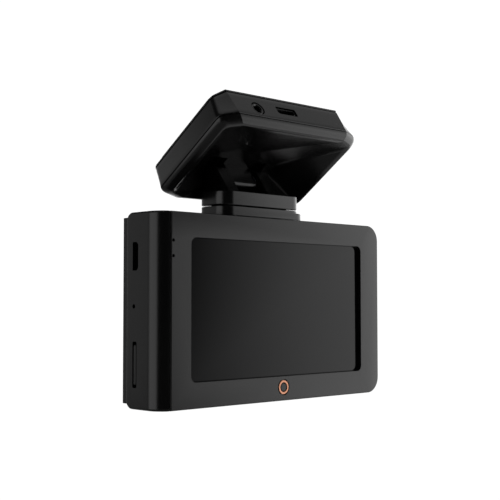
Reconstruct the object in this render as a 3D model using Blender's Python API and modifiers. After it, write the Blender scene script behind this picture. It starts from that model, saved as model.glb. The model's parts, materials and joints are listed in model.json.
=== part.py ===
"""Dash camera hanging from a tilting windshield mount, as separate closed solids.

World frame: the origin is the centre of the adhesive pad's outer face, +Z is up, +Y points
through the windshield towards the road, and +X is to the right of a person who reads the screen.
All named sizes below are millimetres. The mesh builders scale them to metres.

Three empties carry the pieces:
  plate_frame   on the adhesive face, turned by the windshield's slope, local +Y runs down the glass
  tilt_axis     on the hinge pin
  camera_frame  at the bottom of the screen face, in the middle of the camera's width
"""

import math

import bmesh
import bpy
from mathutils import Vector

MM = 0.001
GAP = 0.3            # clearance between neighbouring solids

# Camera body, in camera_frame: x across, y from the screen towards the road, z up.
BODY_W = 92.6
BODY_H = 54.0
SHELL_D = 14.0       # depth of the main shell
WALL = 1.8
BACK_WALL = 1.6
CORNER_R = 5.0       # rounded left front edge and right corners
BACK_EDGE_R = 2.0
LIP_W = 4.0          # width of the shell's lip left of the bezel
BEZEL_T = 1.9
FASCIA_T = 2.2
FASCIA_SIDE_INSET = 0.6
FASCIA_TOP_INSET = 1.35
WINDOW = (-34.8, 37.6, 7.2, 47.1)     # screen opening: x low, x high, z low, z high
WINDOW_R = 1.8
GLASS_FRONT = 1.1      # the screen glass stands this far behind the bezel's face
GLASS_T = 1.0
GLASS_MARGIN = 1.2
LENS_X = 0.0
LENS_Z = 27.0
BOARD_FRONT = 7.1
BOARD_T = 1.2
BOARD_BACK = BOARD_FRONT + BOARD_T

# Openings in the left side wall: y and z ranges.
USB_SLOT = (8.9, 11.3, 37.9, 45.7)
CARD_SLOT = (9.4, 11.2, 5.9, 18.5)
CARD_W = 11.0
CARD_LENGTH = 15.0
CARD_T = 1.0
RESET_HOLE = (10.7, 28.1)
RESET_HOLE_R = 0.6
POWER_HOLE = (6.3, 9.9, 21.7, 32.3)   # in the right side wall

# Neck: dock on the camera, block and two ears above it.
NECK_X = -4.5
NECK_HALF_W = 16.3
NECK_Y = (1.9, 14.0)
NECK_CORNER_R = 3.9
FLANGE_REACH = 1.8    # the flange runs on past the block on the right
FLANGE_Z = (BODY_H + GAP, 56.3)
STEP_TOP = 57.0
BLOCK_Z = (STEP_TOP + GAP, 61.5)
RAIL_LENGTH = 27.0
RAIL_STEM_Y = (5.8, 10.4)
RAIL_HEAD_Y = (4.6, 11.6)
RAIL_HEAD_Z = (58.2, 59.5)
EAR_X = (6.0, 11.0)  # inner and outer face of an ear, from the neck's middle
EAR_HALF_W = 4.2
EAR_TIP_R = 4.6
PIN_R = 1.2
PIN_HOLE_R = 1.5
KNUCKLE_R = 3.0
KNUCKLE_HALF_W = 4.9

INDICATOR_X = -41.2
INDICATOR_Z = (46.05, 41.8)
BADGE_X = 1.7
BADGE_Z = 4.0
BOARD_POSTS = ((-35.5, 47.3), (38.6, 46.0), (8.0, 6.0))
FASCIA_SCREWS = ((-40.0, 6.0), (-40.0, 48.0), (40.0, 6.0), (40.0, 48.0))
DOCK_SCREWS = (NECK_X - 10.0, NECK_X + 10.0)
DOCK_SCREW_Y = 8.1

# Mount plate, in plate_frame: depth is measured down from the rim of the glass-side cover.
TILT = math.radians(35.4)
PLATE_LENGTH = 36.3
PLATE_TOP_HALF = (26.0, 23.3)          # half widths at the cover: sides, socket face
PLATE_LOW_HALF = (28.5, 22.4)          # and at the parting line
PLATE_CHAMFER = (3.2, 1.85)           # corner facets along the glass, cover and parting line
FAR_TAPER = 1.0                       # the lower end leans in by this much at the parting line
PLATE_EDGE = (-5.7, 88.5)             # y, z of the cover's upper rim in camera_frame
PAD_T = 0.9
COVER_Z = -(PAD_T + GAP)              # the cover's outer face in plate_frame
PIN_Y = 11.23                         # hinge pin along the plate, from its middle
PIN_DEPTH = 7.7
PARTING_DEPTH = 9.0
RIM_DEPTH = 11.6
JACK = (-13.5, 5.85)                 # x from the middle of the plate, depth
POWER_PORT = (-1.4, 5.1)
JACK_R = 2.1
JACK_BORE_R = 1.35

BLACK = (0.017, 0.017, 0.018)
SOFT_BLACK = (0.028, 0.028, 0.030)
BOARD_GREEN = (0.02, 0.10, 0.05)
STEEL = (0.55, 0.56, 0.58)
GOLD = (0.83, 0.62, 0.25)
COPPER = (0.62, 0.30, 0.17)


# ---------------------------------------------------------------- scene helpers

def clear_scene():
    for obj in list(bpy.data.objects):
        bpy.data.objects.remove(obj, do_unlink=True)


def new_collection(name):
    collection = bpy.data.collections.new(name)
    bpy.context.scene.collection.children.link(collection)
    return collection


def new_material(name, colour, roughness, metallic=0.0):
    material = bpy.data.materials.new(name)
    material.use_nodes = True
    shader = material.node_tree.nodes["Principled BSDF"]
    shader.inputs["Base Color"].default_value = (*colour, 1.0)
    shader.inputs["Roughness"].default_value = roughness
    shader.inputs["Metallic"].default_value = metallic
    return material


def new_empty(name, location, tilt=0.0):
    empty = bpy.data.objects.new(name, None)
    empty.location = [value * MM for value in location]
    empty.rotation_euler = (tilt, 0.0, 0.0)
    PARTS.objects.link(empty)
    return empty


def add_object(name, bm, place, parent, material):
    """Turn a bmesh into a named part whose origin sits at place."""
    bmesh.ops.recalc_face_normals(bm, faces=bm.faces)
    mesh = bpy.data.meshes.new(name)
    bm.to_mesh(mesh)
    bm.free()
    obj = bpy.data.objects.new(name, mesh)
    obj.location = [value * MM for value in place]
    obj.parent = parent
    if material is None:
        CUTTERS.objects.link(obj)
        obj.hide_render = True
        obj.display_type = "WIRE"
        return obj
    mesh.materials.append(material)
    PARTS.objects.link(obj)
    return obj


def shade_round(obj, angle=35.0):
    obj.data.shade_smooth()
    obj.data.set_sharp_from_angle(angle=math.radians(angle))
    return obj


def combine(obj, other, operation):
    modifier = obj.modifiers.new(operation.lower(), "BOOLEAN")
    modifier.operation = operation
    modifier.solver = "EXACT"
    modifier.object = other


def cut(obj, *cutters):
    for cutter in cutters:
        combine(obj, cutter, "DIFFERENCE")
    return obj


def join(obj, *others):
    for other in others:
        combine(obj, other, "UNION")
    return obj


# ---------------------------------------------------------------- shapes

def middle(low, high):
    return [(a + b) / 2 for a, b in zip(low, high)]


def box(name, low, high, parent, material=None, bevel=0.0, segments=2):
    """A box between two corners, with all its edges bevelled when bevel is given."""
    size = [(b - a) * MM for a, b in zip(low, high)]
    bm = bmesh.new()
    bmesh.ops.create_cube(bm, size=1.0)
    bmesh.ops.scale(bm, vec=size, verts=bm.verts)
    if bevel:
        bmesh.ops.bevel(bm, geom=bm.edges[:], offset=bevel * MM, segments=segments, profile=0.5,
                        affect="EDGES")
    return add_object(name, bm, middle(low, high), parent, material)


def turn_to(bm, axis):
    """Turn what was built along +Z to run along another axis."""
    turn = Vector((0, 0, 1)).rotation_difference(Vector(axis)).to_matrix()
    bmesh.ops.rotate(bm, cent=(0, 0, 0), matrix=turn, verts=bm.verts)


def cylinder(name, centre, axis, radius, length, parent, material=None, sides=32):
    bm = bmesh.new()
    bmesh.ops.create_cone(bm, cap_ends=True, segments=sides, radius1=radius * MM, radius2=radius * MM,
                          depth=length * MM)
    turn_to(bm, axis)
    obj = add_object(name, bm, centre, parent, material)
    return shade_round(obj)


def turned(name, centre, axis, profile, parent, material, sides=40):
    """A closed profile of (radius, height) points turned about an axis through centre."""
    bm = bmesh.new()
    points = [bm.verts.new((radius * MM, 0.0, height * MM)) for radius, height in profile]
    face = bm.faces.new(points)
    on_axis = [edge for edge in face.edges if all(abs(vert.co.x) < 1e-9 for vert in edge.verts)]
    edges = [edge for edge in face.edges if edge not in on_axis]
    bmesh.ops.delete(bm, geom=[face], context="FACES_ONLY")
    bmesh.ops.spin(bm, geom=edges, cent=(0, 0, 0), axis=(0, 0, 1), angle=math.tau, steps=sides,
                   use_merge=True)
    loose = [edge for edge in bm.edges if not edge.link_faces]
    bmesh.ops.delete(bm, geom=loose, context="EDGES")
    bmesh.ops.remove_doubles(bm, verts=bm.verts, dist=1e-7)
    turn_to(bm, axis)
    return shade_round(add_object(name, bm, centre, parent, material))


def arc(centre, radius, start, end, steps):
    """Points on an arc, angles in degrees."""
    points = []
    for step in range(steps + 1):
        angle = math.radians(start + (end - start) * step / steps)
        points.append((centre[0] + radius * math.cos(angle), centre[1] + radius * math.sin(angle)))
    return points


def rounded_rectangle(low, high, radii, steps=6):
    """Outline from corner low to corner high; radii run from the lower left, anticlockwise."""
    corners = (
        (low[0], low[1], 1, 1, 180),
        (high[0], low[1], -1, 1, 270),
        (high[0], high[1], -1, -1, 0),
        (low[0], high[1], 1, -1, 90),
    )
    outline = []
    for (x, y, inward_x, inward_y, start), radius in zip(corners, radii):
        if radius == 0:
            outline.append((x, y))
            continue
        centre = (x + inward_x * radius, y + inward_y * radius)
        outline += arc(centre, radius, start, start + 90, steps)
    return outline


def prism(name, outline, axis, low, high, parent, material=None, place=(0, 0, 0)):
    """Extrude an outline along X, Y or Z; the outline holds the other two coordinates in order."""
    index = "XYZ".index(axis)
    bm = bmesh.new()
    verts = []
    for point in outline:
        coordinates = list(point)
        coordinates.insert(index, low)
        verts.append(bm.verts.new([value * MM for value in coordinates]))
    face = bm.faces.new(verts)
    extruded = bmesh.ops.extrude_face_region(bm, geom=[face])
    moved = [item for item in extruded["geom"] if isinstance(item, bmesh.types.BMVert)]
    shift = [0.0, 0.0, 0.0]
    shift[index] = (high - low) * MM
    bmesh.ops.translate(bm, vec=shift, verts=moved)
    return add_object(name, bm, place, parent, material)


def loft(name, rings, parent, material=None):
    """Skin a row of rings that have equal point counts, and close both ends."""
    bm = bmesh.new()
    loops = []
    for ring in rings:
        loops.append([bm.verts.new([value * MM for value in point]) for point in ring])
    for lower, upper in zip(loops, loops[1:]):
        for index in range(len(lower)):
            following = (index + 1) % len(lower)
            bm.faces.new((lower[index], lower[following], upper[following], upper[index]))
    bm.faces.new(loops[0])
    bm.faces.new(loops[-1])
    return add_object(name, bm, (0, 0, 0), parent, material)


# ---------------------------------------------------------------- camera shell and screen

def body_outline(x_low, x_high):
    """Front view of the body: square on the left, rounded on the right."""
    return rounded_rectangle((x_low, 0), (x_high, BODY_H), (0, CORNER_R, CORNER_R, 0))


def bevel_edges(obj, test, width, segments):
    """Round the edges whose middle passes a test on its millimetre coordinates."""
    bm = bmesh.new()
    bm.from_mesh(obj.data)
    chosen = [edge for edge in bm.edges if test((edge.verts[0].co + edge.verts[1].co) / (2 * MM))]
    bmesh.ops.bevel(bm, geom=chosen, offset=width * MM, segments=segments, profile=0.5, affect="EDGES")
    bm.to_mesh(obj.data)
    bm.free()


def usb_outline(slot, chamfer=0.7):
    """A D-shaped socket outline in y and z, with its short side towards the screen."""
    y_low, y_high, z_low, z_high = slot
    return [(y_low, z_low + chamfer), (y_low + chamfer, z_low), (y_high, z_low),
            (y_high, z_high), (y_low + chamfer, z_high), (y_low, z_high - chamfer)]


def make_main_shell(camera):
    left = -BODY_W / 2
    right = BODY_W / 2
    shell = prism("main_shell", body_outline(left, right), "Y", 0.0, SHELL_D, camera, PLASTIC)
    bevel_edges(shell, lambda co: co.y > SHELL_D - 0.01 and co.x > left + 0.01, BACK_EDGE_R, 3)
    bevel_edges(shell, lambda co: co.y < 0.01 and co.x < left + 0.01, CORNER_R, 6)
    seat = box("bezel_seat", (left + LIP_W, -1, -1), (right + 1, BEZEL_T + GAP, BODY_H + 1), camera)
    cavity_outline = rounded_rectangle((left + WALL, WALL), (right - WALL, BODY_H - WALL), (0, 3, 3, 0))
    cavity = prism("shell_cavity", cavity_outline, "Y", BEZEL_T, SHELL_D - BACK_WALL, camera)
    lens_hole = cylinder("shell_lens_hole", (LENS_X, SHELL_D, LENS_Z), (0, 1, 0), 8.2, 8, camera)
    side = (left - 1, left + WALL + 1)
    usb = prism("usb_hole", usb_outline(USB_SLOT), "X", side[0], side[1], camera)
    card = box("card_hole", (side[0], CARD_SLOT[0], CARD_SLOT[2]), (side[1], CARD_SLOT[1], CARD_SLOT[3]),
               camera)
    reset = cylinder("reset_hole", (left, *RESET_HOLE), (1, 0, 0), RESET_HOLE_R, 6, camera, sides=16)
    power = box("power_hole", (right - WALL - 1, POWER_HOLE[0], POWER_HOLE[2]),
                (right + 1, POWER_HOLE[1], POWER_HOLE[3]), camera)
    cut(shell, seat, cavity, lens_hole, usb, card, reset, power)
    for index, (x, z) in enumerate(BOARD_POSTS):
        centre = (x, (BOARD_BACK + GAP + SHELL_D - 1) / 2, z)
        length = SHELL_D - 1 - BOARD_BACK - GAP
        join(shell, cylinder(f"post_{index}", centre, (0, 1, 0), 2.0, length, camera, sides=20))
    for index, (x, z) in enumerate(BOARD_POSTS):
        cut(shell, cylinder(f"post_hole_{index}", (x, BOARD_BACK, z), (0, 1, 0), 1.0, 6, camera, sides=16))
    for index, (x, z) in enumerate(FASCIA_SCREWS):
        cut(shell, cylinder(f"wall_hole_{index}", (x, SHELL_D, z), (0, 1, 0), 1.1, 6, camera, sides=16))
    for index, x in enumerate(DOCK_SCREWS):
        cut(shell, cylinder(f"roof_hole_{index}", (x, DOCK_SCREW_Y, BODY_H), (0, 0, 1), 1.2, 8, camera,
                            sides=16))
    contact_hole = box("roof_contact_hole", (NECK_X - 4, 9.4, BODY_H - 4), (NECK_X + 4, 11.4, BODY_H + 1),
                       camera)
    return cut(shell, contact_hole)


def make_bezel(camera):
    outline = body_outline(-BODY_W / 2 + LIP_W + GAP, BODY_W / 2)
    bezel = prism("front_bezel", outline, "Y", 0.0, BEZEL_T, camera, PLASTIC)
    x_low, x_high, z_low, z_high = WINDOW
    opening = rounded_rectangle((x_low, z_low), (x_high, z_high), [WINDOW_R] * 4, steps=4)
    window = prism("bezel_window", opening, "Y", -1, BEZEL_T + 1, camera)
    recess = box("glass_recess", (x_low - GLASS_MARGIN - GAP, GLASS_FRONT - GAP, z_low - GLASS_MARGIN - GAP),
                 (x_high + GLASS_MARGIN + GAP, BEZEL_T + 1, z_high + GLASS_MARGIN + GAP), camera)
    cut(bezel, window, recess)
    for index, z in enumerate(INDICATOR_Z):
        cut(bezel, cylinder(f"indicator_hole_{index}", (INDICATOR_X, 0, z), (0, 1, 0), 0.45, 6, camera,
                            sides=16))
    groove = turned("badge_groove", (BADGE_X, 0, BADGE_Z), (0, -1, 0),
                    [(2.4, 1), (2.4, -0.45), (1.1, -0.45), (1.1, 1)], camera, None, sides=32)
    return cut(bezel, groove)


def make_screen(camera):
    x_low, x_high, z_low, z_high = WINDOW
    low = (x_low - GLASS_MARGIN, GLASS_FRONT, z_low - GLASS_MARGIN)
    high = (x_high + GLASS_MARGIN, GLASS_FRONT + GLASS_T, z_high + GLASS_MARGIN)
    box("screen_glass", low, high, camera, GLASS, bevel=0.2, segments=1)
    back = high[1] + GAP
    tray = box("lcd_tray", (low[0] - 0.9, back, low[2] - 0.9), (high[0] + 0.9, back + 2.5, high[2] + 0.9),
               camera, METAL)
    hollow = box("tray_hollow", (low[0], back - 1, low[2]), (high[0], back + 1.9, high[2]), camera)
    cut(tray, hollow)
    box("lcd_panel", (low[0] + GAP, back, low[2] + GAP), (high[0] - GAP, back + 1.6, high[2] - GAP),
        camera, PANEL)


def make_ribbon(camera):
    """A flex strip that leaves the panel's tray below, turns up and runs to the main board."""
    path = [(4.3, 3.3), (6.3, 3.1), (6.62, 3.8)] + [(6.62, z) for z in (8.0, 12.0, 16.0)]
    bm = bmesh.new()
    rows = []
    for x in (18.0, 30.0):
        rows.append([bm.verts.new((x * MM, y * MM, z * MM)) for y, z in path])
    for index in range(len(path) - 1):
        bm.faces.new((rows[0][index], rows[0][index + 1], rows[1][index + 1], rows[1][index]))
    ribbon = add_object("screen_ribbon", bm, (0, 0, 0), camera, RIBBON)
    solidify = ribbon.modifiers.new("thickness", "SOLIDIFY")
    solidify.thickness = 0.15 * MM
    solidify.offset = 0.0
    return ribbon


def make_badge(camera):
    """A plain copper ring set in a groove below the screen."""
    turned("badge_ring", (BADGE_X, 0, BADGE_Z), (0, -1, 0),
           [(2.1, -0.3), (2.1, 0.05), (1.4, 0.05), (1.4, -0.3)], camera, COPPER_FINISH, sides=32)


# ---------------------------------------------------------------- camera electronics

def make_main_board(camera):
    board = box("main_board", (-43.0, BOARD_FRONT, 3.0), (41.0, BOARD_BACK, 49.8), camera, BOARD)
    for index, (x, z) in enumerate(BOARD_POSTS):
        cut(board, cylinder(f"board_hole_{index}", (x, BOARD_FRONT, z), (0, 1, 0), 1.2, 6, camera, sides=16))
        centre_y = BOARD_FRONT - GAP
        turned(f"board_screw_{index + 1}", (x, centre_y, z), (0, -1, 0),
               [(0, 0.5), (1.7, 0.5), (1.7, 0), (0.7, 0), (0.7, -3.4), (0, -3.4)], camera, METAL, sides=20)
    chips = (
        ("main_processor", (-27, 30), (-15, 42), 1.2),
        ("memory_chip", (-25, 8), (-13, 18), 1.0),
        ("image_sensor", (LENS_X - 3.6, LENS_Z - 3.0), (LENS_X + 3.6, LENS_Z + 3.0), 0.9),
    )
    back = BOARD_BACK + GAP
    for name, low, high, height in chips:
        box(name, (low[0], back, low[1]), (high[0], back + height, high[1]), camera, CHIP)
    spread = back + 1.2 + GAP
    box("heat_spreader", (-32.0, spread, 23.0), (-11.0, spread + 0.8, 46.0), camera, METAL, 0.3, 1)
    box("battery", (14.0, back, 6.0), (35.0, back + 3.3, 28.0), camera, CELL, 0.8, 2)
    turned("speaker", (28.0, back, 40.0), (0, 1, 0),
           [(0, 0), (8.0, 0), (8.0, 2.4), (7.0, 3.2), (5.5, 3.2), (4.0, 2.6), (0, 2.9)], camera, CHIP)
    front = BOARD_FRONT - GAP
    cylinder("microphone", (INDICATOR_X, front - 0.8, INDICATOR_Z[1]), (0, 1, 0), 1.9, 1.6, camera, METAL,
             sides=24)
    box("status_light", (INDICATOR_X - 0.8, front - 1.2, INDICATOR_Z[0] - 0.8),
        (INDICATOR_X + 0.8, front, INDICATOR_Z[0] + 0.8), camera, CERAMIC)


def make_usb_socket(name, x_low, x_high, slot, parent):
    """A socket shell along X that opens at x_low, with its tongue."""
    y_low, y_high, z_low, z_high = slot
    wall = 0.35
    outer = (y_low - wall, y_high + wall, z_low - wall, z_high + wall)
    socket = prism(name, usb_outline(outer), "X", x_low, x_high, parent, PLASTIC)
    hollow = prism(f"{name}_hollow", usb_outline(slot), "X", x_low - 1, x_high - 1.2, parent)
    cut(socket, hollow)
    tongue_y = (y_low + y_high) / 2 - 0.1
    tongue = box(f"{name}_tongue", (x_low + 0.6, tongue_y - 0.3, z_low + 1.7),
                 (x_high - 0.6, tongue_y + 0.3, z_high - 1.7), parent)
    return join(socket, tongue)


def make_side_parts(camera):
    left_inside = -BODY_W / 2 + WALL + GAP
    make_usb_socket("micro_usb_socket", left_inside, left_inside + 5.4, USB_SLOT, camera)

    y_low, y_high, z_low, z_high = CARD_SLOT
    socket = box("card_socket", (left_inside, BOARD_BACK + GAP, z_low - 0.9),
                 (left_inside + 14.4, 11.9, z_high + 0.9), camera, METAL)
    cut(socket, box("card_socket_hollow", (left_inside - 1, y_low - 0.1, z_low),
                    (left_inside + 13.6, y_high + 0.1, z_high), camera))
    card_outline = [(0, 0), (0, CARD_W), (9.0, CARD_W), (10.4, CARD_W - 1.4), (CARD_LENGTH, CARD_W - 1.4),
                    (CARD_LENGTH, 0)]
    card_z = (z_low + z_high - CARD_W) / 2
    prism("memory_card", card_outline, "Y", 0.0, CARD_T, camera, CARD, place=(-BODY_W / 2 + 0.1, 9.8, card_z))

    switch_x = left_inside + 1.4
    box("reset_switch", (switch_x, BOARD_BACK + GAP, RESET_HOLE[1] - 2.0),
        (switch_x + 3.4, BOARD_BACK + GAP + 3.3, RESET_HOLE[1] + 2.0), camera, CHIP)
    cylinder("reset_button", (switch_x - 1.0, *RESET_HOLE), (1, 0, 0), 0.45, 1.2, camera, CERAMIC, sides=16)

    y_low, y_high, z_low, z_high = POWER_HOLE
    right = BODY_W / 2
    cap = box("power_button", (right - 2.9, y_low + GAP, z_low + GAP),
              (right - 0.1, y_high - GAP, z_high - GAP), camera, PLASTIC)
    flange = box("power_button_flange", (right - 3.3, y_low - 0.5, z_low - 0.7),
                 (right - WALL - GAP, y_high + 0.5, z_high + 0.7), camera)
    join(cap, flange)
    box("power_switch", (right - 6.8, BOARD_BACK + GAP, LENS_Z - 2.0),
        (right - 4.1, BOARD_BACK + 2.2, LENS_Z + 2.0), camera, CHIP)


# ---------------------------------------------------------------- lens side

def make_lens(camera):
    back = BOARD_BACK + GAP
    holder = box("lens_holder", (LENS_X - 7.5, back, LENS_Z - 7.5), (LENS_X + 7.5, back + 3.2, LENS_Z + 7.5),
                 camera, SOFT_PLASTIC)
    mouth = cylinder("holder_mouth", (LENS_X, back + 4.6, LENS_Z), (0, 1, 0), 7.4, 6.0, camera)
    join(holder, mouth)
    room = box("holder_room", (LENS_X - 5.5, back - 1, LENS_Z - 5.5),
               (LENS_X + 5.5, back + 2.3, LENS_Z + 5.5), camera)
    bore = cylinder("holder_bore", (LENS_X, back + 5, LENS_Z), (0, 1, 0), 6.4, 9.0, camera)
    cut(holder, room, bore)
    box("infrared_filter", (LENS_X - 4.2, back + 1.2, LENS_Z - 4.2), (LENS_X + 4.2, back + 1.6, LENS_Z + 4.2),
        camera, GLASS)

    start = back + 2.6
    barrel = [(6.1, start), (6.1, 16.9), (8.6, 16.9), (8.6, 24.2), (7.4, 24.2), (7.4, 21.6), (5.6, 21.2),
              (5.6, 19.0), (4.6, 18.6), (4.6, start)]
    turned("lens_barrel", (LENS_X, 0, LENS_Z), (0, 1, 0), barrel, camera, SOFT_PLASTIC, sides=48)
    front = [(0, 21.95), (6.9, 21.95), (7.0, 22.4), (6.0, 23.2), (4.5, 23.8), (2.5, 24.15), (0, 24.3)]
    turned("front_lens", (LENS_X, 0, LENS_Z), (0, 1, 0), front, camera, GLASS, sides=48)
    rear = [(0, 13.2), (2.4, 13.4), (4.2, 14.0), (4.2, 15.0), (2.2, 15.5), (0, 15.7)]
    turned("rear_lens", (LENS_X, 0, LENS_Z), (0, 1, 0), rear, camera, GLASS)
    face = SHELL_D + GAP + FASCIA_T + GAP
    ring = [(9.0, face), (14.5, face), (14.5, face + 3.4), (13.6, face + 4.4), (11.2, face + 5.0),
            (9.6, face + 4.6), (9.0, face + 3.2)]
    turned("lens_ring", (LENS_X, 0, LENS_Z), (0, 1, 0), ring, camera, PLASTIC, sides=56)


def make_fascia(camera):
    low = (-BODY_W / 2 + FASCIA_SIDE_INSET, FASCIA_TOP_INSET)
    high = (BODY_W / 2 - FASCIA_SIDE_INSET, BODY_H - FASCIA_TOP_INSET)
    outline = rounded_rectangle(low, high, (0, 4, 4, 0))
    start = SHELL_D + GAP
    fascia = prism("lens_fascia", outline, "Y", start, start + FASCIA_T, camera, SOFT_PLASTIC)
    cut(fascia, cylinder("fascia_lens_hole", (LENS_X, start, LENS_Z), (0, 1, 0), 8.2, 9, camera))
    head_seat = start + FASCIA_T - 1.3
    for index, (x, z) in enumerate(FASCIA_SCREWS):
        cut(fascia, cylinder(f"fascia_hole_{index}", (x, start, z), (0, 1, 0), 1.1, 9, camera, sides=16),
            cylinder(f"fascia_seat_{index}", (x, head_seat + 2.5, z), (0, 1, 0), 2.1, 5, camera, sides=20))
        profile = [(0, 0), (1.7, 0), (1.7, 0.7), (1.2, 1.0), (0, 1.0)]
        shank = [(0.75, 0), (0.75, -2.4), (0, -2.4)]
        turned(f"fascia_screw_{index + 1}", (x, head_seat + GAP, z), (0, 1, 0),
               list(reversed(profile[1:])) + shank, camera, METAL, sides=20)
    for column in range(5):
        for row in range(3):
            hole = (28.0 + (column - 2) * 2.4, start, 40.0 + (row - 1) * 2.4)
            cut(fascia, cylinder(f"speaker_hole_{column}_{row}", hole, (0, 1, 0), 0.6, 9, camera, sides=8))


# ---------------------------------------------------------------- dock and neck

def neck_outline(reach=0.0):
    """Plan of the neck, run on to the right by a reach."""
    low = (NECK_X - NECK_HALF_W, NECK_Y[0])
    high = (NECK_X + NECK_HALF_W + reach, NECK_Y[1])
    return rounded_rectangle(low, high, [NECK_CORNER_R] * 4)


def make_dock(camera):
    """The camera's half of the quick release: flange, step and a T-shaped rail."""
    dock = prism("dock_base", neck_outline(FLANGE_REACH), "Z", FLANGE_Z[0], FLANGE_Z[1], camera, PLASTIC)
    step = prism("dock_step", neck_outline(), "Z", FLANGE_Z[1] - 0.5, STEP_TOP, camera)
    rail_x = (NECK_X - RAIL_LENGTH / 2, NECK_X + RAIL_LENGTH / 2)
    stem = box("rail_stem", (rail_x[0], RAIL_STEM_Y[0], STEP_TOP - 0.5),
               (rail_x[1], RAIL_STEM_Y[1], RAIL_HEAD_Z[0] + 0.4), camera)
    head = box("rail_head", (rail_x[0], RAIL_HEAD_Y[0], RAIL_HEAD_Z[0]),
               (rail_x[1], RAIL_HEAD_Y[1], RAIL_HEAD_Z[1]), camera)
    join(dock, step, stem, head)
    pocket = box("contact_pocket", (NECK_X - 5.4, 6.6, 58.5), (NECK_X + 5.4, 9.6, 60.5), camera)
    cut(dock, pocket)
    for index, x in enumerate(DOCK_SCREWS):
        cut(dock, cylinder(f"dock_hole_{index}", (x, DOCK_SCREW_Y, BODY_H), (0, 0, 1), 1.1, 5.6, camera,
                           sides=16))
        turned(f"dock_screw_{index + 1}", (x, DOCK_SCREW_Y, BODY_H - WALL - GAP), (0, 0, -1),
               [(0, 1.3), (1.5, 1.3), (1.5, 0), (0.8, 0), (0.8, -4.4), (0, -4.4)], camera, METAL, sides=20)
    box("dock_contacts", (NECK_X - 5.0, 6.9, 58.8), (NECK_X + 5.0, 9.3, 59.4), camera, CONTACT)


def plate_to_neck(u, w):
    """A point u down the glass and w out of it, seen from the pin in camera axes."""
    y = u * math.cos(TILT) + w * math.sin(TILT)
    z = -u * math.sin(TILT) + w * math.cos(TILT)
    return (y, z)


def pin_in_camera():
    """The hinge pin in camera_frame."""
    along = PLATE_LENGTH / 2 + PIN_Y
    offset = plate_to_neck(along, -PIN_DEPTH)
    return (NECK_X, PLATE_EDGE[0] + offset[0], PLATE_EDGE[1] + offset[1])


def ear_outline():
    """Side view of an ear about the pin: a round tip on a slanting arm with a flat foot."""
    foot_z = BLOCK_Z[1] - 0.4 - pin_in_camera()[2]
    front_w = (foot_z - EAR_HALF_W * math.sin(TILT)) / math.cos(TILT)
    reach = math.degrees(math.acos(EAR_HALF_W / EAR_TIP_R))
    tip = [plate_to_neck(u, w) for u, w in arc((0, 0), EAR_TIP_R, reach, 180 - reach, 10)]
    rear_corner = plate_to_neck(EAR_HALF_W, 0.2)
    rear_foot = (NECK_Y[1] - 1.0 - pin_in_camera()[1], foot_z)
    return tip + [plate_to_neck(-EAR_HALF_W, front_w), rear_foot, rear_corner]


def make_neck(tilt, pin):
    """The block that slides on the dock, with two ears up to the hinge pin."""
    local = [(x - pin[0], y - pin[1]) for x, y in neck_outline()]
    z_low = BLOCK_Z[0] - pin[2]
    z_high = BLOCK_Z[1] - pin[2]
    block = prism("neck_block", local, "Z", z_low, z_high, tilt, PLASTIC)
    right = NECK_HALF_W + 1
    half = RAIL_LENGTH / 2 + GAP
    stem_y = (RAIL_STEM_Y[0] - GAP - pin[1], RAIL_STEM_Y[1] + GAP - pin[1])
    head_y = (RAIL_HEAD_Y[0] - GAP - pin[1], RAIL_HEAD_Y[1] + GAP - pin[1])
    head_z = (RAIL_HEAD_Z[0] - GAP - pin[2], RAIL_HEAD_Z[1] + GAP - pin[2])
    stem = box("channel_stem", (-half, stem_y[0], z_low - 1), (right, stem_y[1], head_z[0] + 0.5), tilt)
    head = box("channel_head", (-half, head_y[0], head_z[0]), (right, head_y[1], head_z[1]), tilt)
    pocket = box("pogo_pocket", (-5.3, 6.3 - pin[1], head_z[1] - 0.5),
                 (5.3, 9.9 - pin[1], head_z[1] + 1.1), tilt)
    cut(block, stem, head, pocket)
    for side in (-1, 1):
        inner, outer = sorted((side * EAR_X[0], side * EAR_X[1]))
        ear = prism(f"ear_{side}", ear_outline(), "X", inner, outer, tilt)
        join(block, ear)
    bore = cylinder("ear_bore", (0, 0, 0), (1, 0, 0), PIN_HOLE_R, 2 * (EAR_X[1] - 0.7), tilt, sides=24)
    cut(block, bore)
    box("pogo_block", (-5.0, 6.6 - pin[1], head_z[1] + 0.1), (5.0, 9.6 - pin[1], head_z[1] + 0.8), tilt,
        CONTACT)
    cylinder("hinge_pin", (0, 0, 0), (1, 0, 0), PIN_R, 2 * (EAR_X[1] - 1.0), tilt, METAL, sides=24)
    for name, side in (("friction_washer_left", -1), ("friction_washer_right", 1)):
        washer = [(3.0, -0.25), (3.0, 0.25), (PIN_HOLE_R, 0.25), (PIN_HOLE_R, -0.25)]
        turned(name, (side * 5.45, 0, 0), (1, 0, 0), washer, tilt, METAL, sides=24)


# ---------------------------------------------------------------- mount plate

def plate_ring(depth, half_w, half_top, chamfer, upper, lower):
    """Eight corners of the plate's outline at a depth: the socket side is the upper end."""
    z = COVER_Z - depth
    outline = [(-half_top, upper), (half_top, upper), (half_w, upper + chamfer), (half_w, lower - chamfer),
               (half_top, lower), (-half_top, lower), (-half_w, lower - chamfer), (-half_w, upper + chamfer)]
    return [(x, y, z) for x, y in outline]


def between(start, end, share):
    return start + (end - start) * share


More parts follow.
